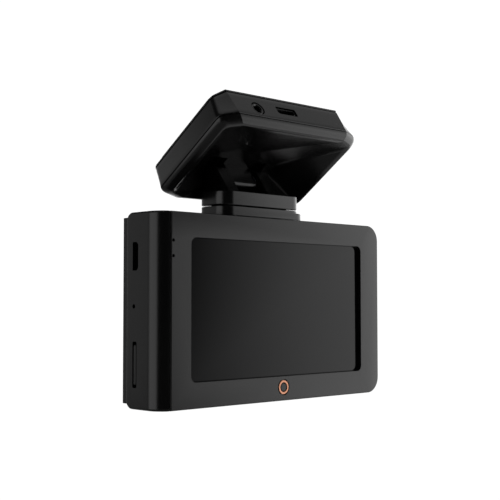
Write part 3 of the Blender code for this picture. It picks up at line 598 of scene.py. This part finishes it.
def make_upper_shell():
    rings = [body_ring(1.2, 0.2), body_ring(1.3, 0.05), body_ring(1.45)]
    rings += [body_ring(between(1.45, 8.8, step / 6)) for step in range(1, 7)]
    rings += [body_ring(8.92, 0.05), body_ring(PARTING_DEPTH, 0.15)]
    shell = loft("upper_shell", rings, PLATE)
    hollow = loft("hollow", [body_ring(0.2, 1.5, 1.0), body_ring(10.0, 1.5, 1.0)], PLATE)
    jack_centre = (JACK[0], PORT_FACE, COVER_Z - JACK[1])
    jack = cylinder("jack_hole", jack_centre, (0, 1, 0), JACK_R + 0.2, 6, PLATE, 64)
    half_w, half_h = PORT_HALF
    low = (POWER_PORT[0] - half_w, COVER_Z - POWER_PORT[1] - half_h)
    high = (POWER_PORT[0] + half_w, COVER_Z - POWER_PORT[1] + half_h)
    port = prism("port_hole", rounded_rectangle(low, high, [0.5] * 4, 4), "Y", PORT_FACE - 1, PORT_FACE + 3,
                 PLATE)
    cut(shell, hollow, jack, port)
    return dress(soften(shell, 0.08, 2, 40.0), ["mount_upper_shell"])


DISH = (                 # at its rim and at its floor
    (RIM_DEPTH - 0.05, 2.9),    # depth
    (26.0, 14.5),               # half width at the sides
    (20.8, 3.6),                # half width at the ends
    (1.9, 5.0),                 # corner facet along the plate
    (-15.75, 1.2),              # upper end
    (14.9, 14.2),               # lower end
)


def make_lower_shell():
    """The lower half of the mount: a rounded rim, a dish, two ear slots and the hinge knuckle."""
    inner = [plate_ring(1.6, 15.6, 4.2, 5.0, -0.2, 15.6), plate_ring(9.3, 24.9, 19.9, 1.9, -15.5, 15.7)]
    rim = [body_ring(9.3, 0.15), body_ring(9.4, 0.05), body_ring(9.6, 0.12), body_ring(10.2, 0.35)]
    rim += [body_ring(10.7, 0.7), body_ring(11.1, 1.1), body_ring(11.4, 1.5), body_ring(11.55, 1.75)]
    rim += [body_ring(RIM_DEPTH, 2.05)]
    dish = []
    for step in range(13):
        share = step / 12
        radii = (between(0.6, 3.0, share), between(2.0, 2.4, share))
        values = [between(rim_value, floor_value, share) for rim_value, floor_value in DISH]
        dish.append(plate_ring(*values, radii))
    shell = loft("lower_shell", inner + rim + dish, PLATE)
    slots = []
    for side in (-1, 1):
        low_x, high_x = sorted((side * (EAR_X[0] - 0.5), side * (EAR_X[1] + 0.5)))
        slots.append(box("slot", (low_x, PIN_Y - 5.7, COVER_Z - 10.2),
                         (high_x, PIN_Y + 5.1, COVER_Z - 1.0), PLATE))
    cut(shell, *slots)
    outline = rounded_rectangle((PIN_Y - KNUCKLE_R, COVER_Z - PIN_DEPTH - KNUCKLE_R),
                                (PIN_Y + KNUCKLE_R, COVER_Z - 2.2), (1.6, 1.6, 0.1, 0.1))
    join(shell, prism("knuckle", outline, "X", -4.9, 4.9, PLATE))
    cut(shell, cylinder("bore", (0, PIN_Y, COVER_Z - PIN_DEPTH), (1, 0, 0), PIN_HOLE_R, 14, PLATE, 32))
    return dress(soften(shell, 0.1, 2, 45.0), ["mount_lower_shell"])


def make_jack():
    """The socket's barrel, with a blind bore and a countersunk mouth."""
    centre = (JACK[0], PORT_FACE, COVER_Z - JACK[1])
    profile = [(JACK_R, 0.35), (JACK_R, 5.9), (0.0, 5.9), (0.0, 3.6), (JACK_BORE_R, 3.3), (JACK_BORE_R, 0.5),
               (JACK_BORE_R + 0.25, 0.15), (JACK_R - 0.2, 0.15)]
    return dress(soften(turned("jack_barrel", centre, (0, 1, 0), profile, PLATE), 0.03), ["video_jack"])


def make_power_socket():
    """A flat socket with two cut corners and a tongue."""
    z = COVER_Z - POWER_PORT[1]
    corners = [(-3.8, 1.1), (-3.8, -0.3), (-3.0, -1.1), (3.0, -1.1), (3.8, -0.3), (3.8, 1.1)]
    place = PLATE @ Matrix.Translation((POWER_PORT[0], 0, z))
    start = PORT_FACE + 0.4
    shell = prism("power_shell", rounded_polygon(corners, [0.2] * 6, 4), "Y", start, start + 5.6, place)
    inner = [(x * 0.92, height * 0.78) for x, height in corners]
    hollow = prism("power_hollow", rounded_polygon(inner, [0.15] * 6, 4), "Y", start - 1, start + 4.6, place)
    cut(shell, hollow)
    tongue = box("power_tongue", (-2.4, start + 1.0, -0.1), (2.4, start + 5.0, 0.4), place)
    return dress(soften(join(shell, tongue), 0.04), ["power_socket"])


def make_pad():
    """Foam tape with rounded corners and rims."""
    pad = slab("foam_pad", (-24.5, -15.0), (24.5, 15.0), [3.0] * 4, "Z", -0.9, 0.0, PLATE, (0.15, 0.12))
    return dress(soften(pad, 0.03), ["adhesive_pad"])


# ---------------------------------------------------------------- neck and dock

NECK_Y = (1.9, 14.0)
NECK_CORNER_R = 3.9
FLANGE_REACH = 1.8
FLANGE_Z = (54.3, 56.3)
STEP_TOP = 57.0
BLOCK_Z = (57.3, 61.5)
RAIL_HALF = 13.5
RAIL_STEM_Y = (5.8, 10.4)
RAIL_HEAD_Y = (4.6, 11.6)
RAIL_HEAD_Z = (58.2, 59.5)
EAR_HALF_W = 4.2
EAR_TIP_R = 4.6
DOCK_SCREW_X = (NECK_X - 10.0, NECK_X + 10.0)
DOCK_SCREW_Y = 8.1
EAR_SLANT = 0.9          # the ears' outer faces lean in by this much towards the screen side


def neck_slab(name, z_low, z_high, rims, reach=0.0):
    low = (NECK_X - NECK_HALF_W, NECK_Y[0])
    high = (NECK_X + NECK_HALF_W + reach, NECK_Y[1])
    return slab(name, low, high, [NECK_CORNER_R] * 4, "Z", z_low, z_high, CAMERA, rims)


def plate_to_neck(u, w):
    """A point u down the glass and w outwards through it, as y and z about the pin."""
    return (u * math.cos(TILT) + w * math.sin(TILT), -u * math.sin(TILT) + w * math.cos(TILT))


def ear_outline(pin):
    """Side view of an ear about the pin: a round tip on a slanting arm with a flat foot."""
    foot_z = BLOCK_Z[1] - 0.4 - pin.z
    front_w = (foot_z - EAR_HALF_W * math.sin(TILT)) / math.cos(TILT)
    reach = math.degrees(math.acos(EAR_HALF_W / EAR_TIP_R))
    tip = [plate_to_neck(u, w) for u, w in arc((0, 0), EAR_TIP_R, reach, 180 - reach, 24)]
    rear_foot = (NECK_Y[1] - 1.0 - pin.y, foot_z)
    return tip + [plate_to_neck(-EAR_HALF_W, front_w), rear_foot, plate_to_neck(EAR_HALF_W, 0.2)]


def ear(side, pin):
    """An ear whose outer face leans in towards the screen side."""
    inner, outer = side * EAR_X[0], side * (EAR_X[1] + 0.1)
    outline = ear_outline(pin)
    low_y = min(y for y, z in outline)
    high_y = max(y for y, z in outline)
    outer_ring = [(outer - side * EAR_SLANT * (high_y - y) / (high_y - low_y), y, z) for y, z in outline]
    return loft("ear", [[(inner, y, z) for y, z in outline], outer_ring], PIN)


def make_neck():
    """The block with its T-shaped channel and the two ears."""
    pin = CAMERA.inverted() @ PIN_POINT
    block = neck_slab("neck", BLOCK_Z[0], BLOCK_Z[1], (0.3, 0.35))
    right = NECK_X + NECK_HALF_W + 1
    stem = box("stem", (NECK_X - RAIL_HALF - GAP, RAIL_STEM_Y[0] - GAP, BLOCK_Z[0] - 1),
               (right, RAIL_STEM_Y[1] + GAP, RAIL_HEAD_Z[0] + 0.2), CAMERA)
    head = box("head", (NECK_X - RAIL_HALF - GAP, RAIL_HEAD_Y[0] - GAP, RAIL_HEAD_Z[0] - GAP),
               (right, RAIL_HEAD_Y[1] + GAP, RAIL_HEAD_Z[1] + GAP), CAMERA)
    pocket = box("pocket", (NECK_X - 5.3, 6.3, RAIL_HEAD_Z[1] - 0.2),
                 (NECK_X + 5.3, 9.9, RAIL_HEAD_Z[1] + 1.4), CAMERA)
    cut(block, stem, head, pocket)
    join(block, ear(-1, pin), ear(1, pin))
    cut(block, cylinder("bore", (0, 0, 0), (1, 0, 0), PIN_HOLE_R, 2 * (EAR_X[1] - 0.7), PIN, 32))
    return dress(soften(block, 0.12, 2, 40.0), ["neck_block"])


def make_dock():
    """Flange, step and T-shaped rail on top of the camera."""
    dock = neck_slab("dock", FLANGE_Z[0], FLANGE_Z[1], (0.1, 0.3), FLANGE_REACH)
    step = neck_slab("dock_step", FLANGE_Z[1] - 0.5, STEP_TOP, (0.05, 0.15))
    rail = (NECK_X - RAIL_HALF, NECK_X + RAIL_HALF)
    stem = box("stem", (rail[0], RAIL_STEM_Y[0], STEP_TOP - 0.5),
               (rail[1], RAIL_STEM_Y[1], RAIL_HEAD_Z[0] + 0.4), CAMERA)
    head = slab("head", (rail[0], RAIL_HEAD_Y[0]), (rail[1], RAIL_HEAD_Y[1]), [0.6] * 4, "Z", RAIL_HEAD_Z[0],
                RAIL_HEAD_Z[1], CAMERA, (0.1, 0.2))
    join(dock, step, stem, head)
    cut(dock, box("pocket", (NECK_X - 5.4, 6.6, 58.5), (NECK_X + 5.4, 9.6, 60.5), CAMERA))
    holes = [cylinder("hole", (x, DOCK_SCREW_Y, BODY_H), (0, 0, 1), 1.1, 5.6, CAMERA, 32)
             for x in DOCK_SCREW_X]
    return dress(soften(cut(dock, *holes), 0.1, 2, 40.0), ["dock_base"])


def make_dock_contacts():
    """Four contact pads on their carrier."""
    base = box("contacts", (NECK_X - 5.0, 6.9, 58.8), (NECK_X + 5.0, 9.3, 59.15), CAMERA)
    pads = [slab("pad", (NECK_X + x - 0.7, 7.2), (NECK_X + x + 0.7, 9.0), [0.3] * 4, "Z", 59.1, 59.4, CAMERA,
                 (0.05, 0.05)) for x in (-3.6, -1.2, 1.2, 3.6)]
    return dress(soften(join(base, *pads), 0.03), ["dock_contacts"])


# ---------------------------------------------------------------- lens side

FASCIA_FRONT = SHELL_D + GAP
FASCIA_T = 2.2
HEAD_SEAT_DEPTH = 1.3
SPEAKER = (28.0, 40.0)                # x, z of the middle of the grille
GRILLE_PITCH = 2.4
GRILLE_R = 0.6
RING_FACE = FASCIA_FRONT + FASCIA_T + GAP


def turned_lens(name, profile, node, width=0.05, sides=144):
    piece = turned(name, (LENS[0], 0, LENS[1]), (0, 1, 0), profile, CAMERA, sides)
    return dress(soften(piece, width, 2, 25.0), [node])


def make_lens_ring():
    """A rounded collar with a fine groove round its crown."""
    shoulder = [(14.5, 0.0), (14.5, 3.0)]
    for step in range(1, 8):
        angle = step * math.pi / 16
        shoulder.append((13.5 + math.cos(angle), 3.0 + 1.3 * math.sin(angle)))
    groove = [(13.0, 4.4), (12.9, 4.15), (12.6, 4.15), (12.5, 4.55)]
    crown = [(11.2, 4.95), (10.4, 4.9), (9.6, 4.6), (9.0, 3.2)]
    profile = [(radius, RING_FACE + height) for radius, height in [(9.0, 0.0)] + shoulder + groove + crown]
    return turned_lens("lens_collar", profile, "lens_ring")


def make_lens_barrel():
    """The barrel with five fine grooves round it and a recess for the front glass."""
    grooves = []
    for step in range(5):
        start = 19.0 + step * 0.9
        grooves += [(8.6, start), (8.6, start + 0.45), (8.35, start + 0.55), (8.35, start + 0.8)]
    profile = [(6.1, 11.2), (6.1, 16.9), (8.6, 16.9)] + grooves
    profile += [(8.6, 23.6), (8.4, 24.1), (8.2, 24.2), (7.6, 24.2), (7.4, 24.0), (7.4, 21.6), (5.6, 21.2),
                (5.6, 19.0), (4.6, 18.6), (4.6, 11.2)]
    return turned_lens("barrel", profile, "lens_barrel")


def make_front_lens():
    """A domed glass, flat behind."""
    dome = []
    for step in range(25):
        angle = math.pi * step / 48
        dome.append((7.0 * math.sin(angle), 22.4 + 1.9 * math.cos(angle)))
    return turned_lens("front_glass", [(0.0, 21.95), (6.9, 21.95)] + dome[::-1], "front_lens", 0.02)


def make_fascia():
    low = (LEFT + 0.6, 1.35)
    high = (RIGHT - 0.6, BODY_H - 1.35)
    end = FASCIA_FRONT + FASCIA_T
    fascia = slab("lens_side_cover", low, high, (0.1, 4, 4, 0.1), "Y", FASCIA_FRONT, end, CAMERA, (0.05, 0.5))
    holes = [cylinder("lens_hole", (LENS[0], FASCIA_FRONT, LENS[1]), (0, 1, 0), LENS_HOLE_R, 9, CAMERA, 96)]
    for x, z in FASCIA_SCREWS:
        holes.append(cylinder("hole", (x, FASCIA_FRONT, z), (0, 1, 0), 1.1, 9, CAMERA, 32))
        holes.append(cylinder("seat", (x, end - HEAD_SEAT_DEPTH + 2.5, z), (0, 1, 0), 2.1, 5, CAMERA, 48))
    cut(fascia, *holes)
    for row in range(3):
        z = SPEAKER[1] + (row - 1) * GRILLE_PITCH
        columns = [SPEAKER[0] + (column - 2) * GRILLE_PITCH for column in range(5)]
        cut(fascia, *[cylinder("grille", (x, FASCIA_FRONT, z), (0, 1, 0), GRILLE_R, 9, CAMERA, 24)
                      for x in columns])
    return dress(soften(fascia, 0.08, 2, 40.0), ["lens_fascia"])


def make_screw(node, centre, axis, radius, head, length):
    """A domed head with a cross recess on a plain shank; head height runs along the axis."""
    dome = []
    for step in range(9):
        angle = step * math.pi / 16
        dome.append((radius * math.cos(angle), head * (0.55 + 0.45 * math.sin(angle))))
    profile = [(radius, 0.0)] + dome[:-1] + [(0.0, head), (0.0, -length), (0.7, -length), (0.7, 0.0)]
    screw = turned(node + "_body", centre, axis, profile, CAMERA, 48)
    for turn in (0.0, math.pi / 2):
        bm = bmesh.new()
        bmesh.ops.create_cube(bm, size=1.0)
        bmesh.ops.scale(bm, vec=(radius * 1.15, radius * 0.28, head * 1.1), verts=bm.verts)
        bmesh.ops.rotate(bm, cent=(0, 0, 0), matrix=Matrix.Rotation(turn, 3, "Z"), verts=bm.verts)
        bmesh.ops.translate(bm, vec=(0, 0, head * 0.95), verts=bm.verts)
        turn_to(bm, centre, axis)
        cut(screw, new_object("cross", bm, CAMERA))
    return dress(soften(screw, 0.04), [node])


def make_fascia_screw(index):
    x, z = FASCIA_SCREWS[index]
    start = FASCIA_FRONT + FASCIA_T - HEAD_SEAT_DEPTH + GAP
    return make_screw(f"fascia_screw_{index + 1}", (x, start, z), (0, 1, 0), 1.7, 1.0, 2.4)


# ---------------------------------------------------------------- openings in the sides

def make_usb_socket():
    """A D-shaped socket with a thin wall and its tongue."""
    x_low = LEFT + WALL + GAP
    y_low, y_high, z_low, z_high = USB_SLOT
    outer = (y_low - 0.35, y_high + 0.35, z_low - 0.35, z_high + 0.35)
    socket = prism("usb_shell", usb_outline(outer), "X", x_low, x_low + 5.4, CAMERA)
    cut(socket, prism("hollow", usb_outline(USB_SLOT), "X", x_low - 1, x_low + 4.2, CAMERA))
    middle = (y_low + y_high) / 2 - 0.1
    tongue = box("tongue", (x_low + 1.2, middle - 0.3, z_low + 1.7),
                 (x_low + 4.8, middle + 0.3, z_high - 1.7), CAMERA)
    return dress(soften(join(socket, tongue), 0.04), ["micro_usb_socket"])


def make_memory_card():
    """A card with one notched corner and a shallow thumb groove near its outer end."""
    z = (CARD_SLOT[2] + CARD_SLOT[3] - 11.0) / 2
    outline = [(0, 0), (0, 11.0), (9.0, 11.0), (10.4, 9.6), (15.0, 9.6), (15.0, 0)]
    place = CAMERA @ Matrix.Translation((LEFT + 0.1, 9.8, z))
    card = prism("card", rounded_polygon(outline, [0.4] * 6, 5), "Y", 0.0, 1.0, place)
    step = box("step", (0.55, 0.7, -1), (1.1, 2.0, 12.0), place)
    return dress(soften(cut(card, step), 0.06), ["memory_card"])


def make_power_button():
    """A rounded cap on its flange, with three grip lines."""
    y_low, y_high, z_low, z_high = POWER_HOLE
    cap = slab("power_cap", (y_low + GAP, z_low + GAP), (y_high - GAP, z_high - GAP), [1.0] * 4, "X",
               RIGHT - 2.9, RIGHT - 0.1, CAMERA, (0.1, 0.3))
    flange = slab("power_flange", (y_low - 0.5, z_low - 0.7), (y_high + 0.5, z_high + 0.7), [1.2] * 4, "X",
                  RIGHT - 3.3, RIGHT - WALL - GAP, CAMERA, (0.1, 0.1))
    join(cap, flange)
    middle = (z_low + z_high) / 2
    lines = []
    for line_z in (middle - 1.4, middle, middle + 1.4):
        lines.append(box("line", (RIGHT - 0.3, y_low + 1.0, line_z - 0.2),
                         (RIGHT + 1, y_high - 1.0, line_z + 0.2), CAMERA))
    return dress(soften(cut(cap, *lines), 0.06), ["power_button"])


# ---------------------------------------------------------------- studio

VIEW_LENS = 75.44                     # focal length for a sensor 36 mm wide
VIEW_POINT = (-224.2, -216.6, 29.6)
VIEW_RISE = 2.78                      # degrees up from level
VIEW_TURN = -44.37                    # degrees about the vertical


def make_camera():
    """The photograph's angle: the screen side from the left, level with the body, looking slightly up."""
    data = bpy.data.cameras.new("view")
    data.lens = VIEW_LENS
    data.sensor_width = 36.0
    camera = bpy.data.objects.new("view", data)
    camera.location = CAMERA @ Vector(VIEW_POINT)
    camera.rotation_euler = Euler((math.radians(90 + VIEW_RISE), 0.0, math.radians(VIEW_TURN)))
    bpy.context.scene.collection.objects.link(camera)
    bpy.context.scene.camera = camera


def math_node(tree, operation, *values):
    node = tree.nodes.new("ShaderNodeMath")
    node.operation = operation
    for index, value in enumerate(values):
        if isinstance(value, (int, float)):
            node.inputs[index].default_value = value
        else:
            tree.links.new(value, node.inputs[index])
    return node.outputs[0]


def sine(degrees):
    return math.sin(math.radians(degrees))


def edge_ramp(tree, value, dark, bright):
    """0 at dark, 1 at bright, smooth in between."""
    ramp = tree.nodes.new("ShaderNodeMapRange")
    ramp.interpolation_type = "SMOOTHSTEP"
    ramp.inputs["From Min"].default_value = dark
    ramp.inputs["From Max"].default_value = bright
    tree.links.new(value, ramp.inputs["Value"])
    return ramp.outputs["Result"]


def soft_box(tree, axes, azimuth, half_width, low, high, strength, blur):
    """A soft box round the room: azimuth is measured from +X towards +Y, low and high are elevations."""
    x, y, z = axes
    across = math_node(tree, "SQRT", math_node(tree, "ADD", math_node(tree, "MULTIPLY", x, x),
                                               math_node(tree, "MULTIPLY", y, y)))
    towards = (math.cos(math.radians(azimuth)), math.sin(math.radians(azimuth)))
    along = math_node(tree, "ADD", math_node(tree, "MULTIPLY", x, towards[0]),
                      math_node(tree, "MULTIPLY", y, towards[1]))
    cosine = math_node(tree, "DIVIDE", along, math_node(tree, "MAXIMUM", across, 0.001))
    sideways = edge_ramp(tree, cosine, math.cos(math.radians(half_width + blur)),
                         math.cos(math.radians(max(half_width - blur, 0.0))))
    above = edge_ramp(tree, z, sine(low - blur), sine(low + blur))
    below = edge_ramp(tree, z, sine(min(high + blur, 90)), sine(high - blur))
    share = math_node(tree, "MULTIPLY", sideways, math_node(tree, "MULTIPLY", above, below))
    return math_node(tree, "MULTIPLY", share, strength)


ROOM_LIGHT = 0.02
SOFT_BOXES = (           # azimuth, half width, low, high, strength, blur
    (10.0, 59.0, -40.0, 26.0, 1.6, 13.0),     # large box on the right
    (0.0, 55.0, 34.0, 66.0, 0.34, 10.0),      # its upper part, dimmer
    (176.0, 27.0, -30.0, 22.0, 1.1, 6.0),     # strip on the left
    (62.0, 80.0, -12.0, 24.0, 0.32, 8.0),     # pale wall behind
)
CEILING = (48.0, 68.0, 0.5)    # elevations where it begins and where it is full, strength
WHITE = 1.05             # strength of the white that the camera sees


def make_world():
    """A dark room with soft boxes, a pale wall behind and a ceiling; plain white to the camera."""
    world = bpy.data.worlds.new("studio")
    bpy.context.scene.world = world
    world.use_nodes = True
    tree = world.node_tree
    tree.nodes.clear()
    split = tree.nodes.new("ShaderNodeSeparateXYZ")
    tree.links.new(tree.nodes.new("ShaderNodeTexCoord").outputs["Generated"], split.inputs[0])
    axes = [split.outputs[index] for index in range(3)]
    total = ROOM_LIGHT
    for box_values in SOFT_BOXES:
        total = math_node(tree, "ADD", total, soft_box(tree, axes, *box_values))
    begins, full, strength = CEILING
    ceiling = edge_ramp(tree, axes[2], sine(begins), sine(full))
    total = math_node(tree, "ADD", total, math_node(tree, "MULTIPLY", ceiling, strength))
    room = tree.nodes.new("ShaderNodeBackground")
    tree.links.new(total, room.inputs["Strength"])
    room.inputs["Color"].default_value = (1.0, 1.0, 1.0, 1.0)
    white = tree.nodes.new("ShaderNodeBackground")
    white.inputs["Color"].default_value = (1.0, 1.0, 1.0, 1.0)
    white.inputs["Strength"].default_value = WHITE
    path = tree.nodes.new("ShaderNodeLightPath")
    mix = tree.nodes.new("ShaderNodeMixShader")
    output = tree.nodes.new("ShaderNodeOutputWorld")
    tree.links.new(path.outputs["Is Camera Ray"], mix.inputs["Fac"])
    tree.links.new(room.outputs[0], mix.inputs[1])
    tree.links.new(white.outputs[0], mix.inputs[2])
    tree.links.new(mix.outputs[0], output.inputs["Surface"])


FLOOR_DROP = 0.12                     # metres, as are the next four
FLOOR_R = 0.45
BOUNCE_SIZE = (0.5, 0.6)
BOUNCE_POINT = (0.27, 0.05)
BOUNCE_LIFT = 0.005
BOUNCE_WATTS = 0.42


def make_bounce_card():
    """An area light on the floor, right of the camera, that lights the hollow under the mount."""
    light = bpy.data.lights.new("bounce_card", "AREA")
    light.shape = "RECTANGLE"
    light.size, light.size_y = BOUNCE_SIZE
    light.energy = BOUNCE_WATTS
    card = bpy.data.objects.new("bounce_card", light)
    card.location = (*BOUNCE_POINT, cad_box[0].z - FLOOR_DROP + BOUNCE_LIFT)
    card.rotation_euler = (math.pi, 0.0, 0.0)
    card.visible_camera = False
    bpy.context.scene.collection.objects.link(card)


def make_floor():
    """A plain floor well below the hanging camera: grey to the light, white in the picture."""
    bm = bmesh.new()
    bmesh.ops.create_circle(bm, cap_ends=True, segments=64, radius=FLOOR_R)
    mesh = bpy.data.meshes.new("floor")
    bm.to_mesh(mesh)
    bm.free()
    floor = bpy.data.objects.new("floor", mesh)
    floor.location.z = cad_box[0].z - FLOOR_DROP
    bpy.context.scene.collection.objects.link(floor)
    material, tree, shader = new_material("pale_floor")
    shader.inputs["Base Color"].default_value = (0.45, 0.45, 0.45, 1.0)
    shader.inputs["Roughness"].default_value = 0.9
    glow = tree.nodes.new("ShaderNodeEmission")
    glow.inputs["Strength"].default_value = WHITE
    path = tree.nodes.new("ShaderNodeLightPath")
    mix = tree.nodes.new("ShaderNodeMixShader")
    tree.links.new(path.outputs["Is Camera Ray"], mix.inputs["Fac"])
    tree.links.new(shader.outputs[0], mix.inputs[1])
    tree.links.new(glow.outputs[0], mix.inputs[2])
    tree.links.new(mix.outputs[0], tree.nodes["Material Output"].inputs["Surface"])
    mesh.materials.append(material)


DETAILED = {
    "main_shell": make_shell,
    "front_bezel": make_bezel,
    "screen_glass": make_screen_glass,
    "badge_ring": make_badge,
    "mount_cover": make_mount_cover,
    "mount_upper_shell": make_upper_shell,
    "mount_lower_shell": make_lower_shell,
    "video_jack": make_jack,
    "power_socket": make_power_socket,
    "adhesive_pad": make_pad,
    "neck_block": make_neck,
    "dock_base": make_dock,
    "dock_contacts": make_dock_contacts,
    "lens_ring": make_lens_ring,
    "lens_barrel": make_lens_barrel,
    "front_lens": make_front_lens,
    "lens_fascia": make_fascia,
    "micro_usb_socket": make_usb_socket,
    "memory_card": make_memory_card,
    "power_button": make_power_button,
}
for node_name in sorted(frame["nodes"]):
    if node_name.startswith("fascia_screw_"):
        make_fascia_screw(int(node_name[-1]) - 1)
    elif node_name in DETAILED:
        DETAILED[node_name]()
    else:
        refine(node_name)
make_camera()
make_world()
make_floor()
make_bounce_card()
bpy.context.scene.view_settings.view_transform = "Standard"
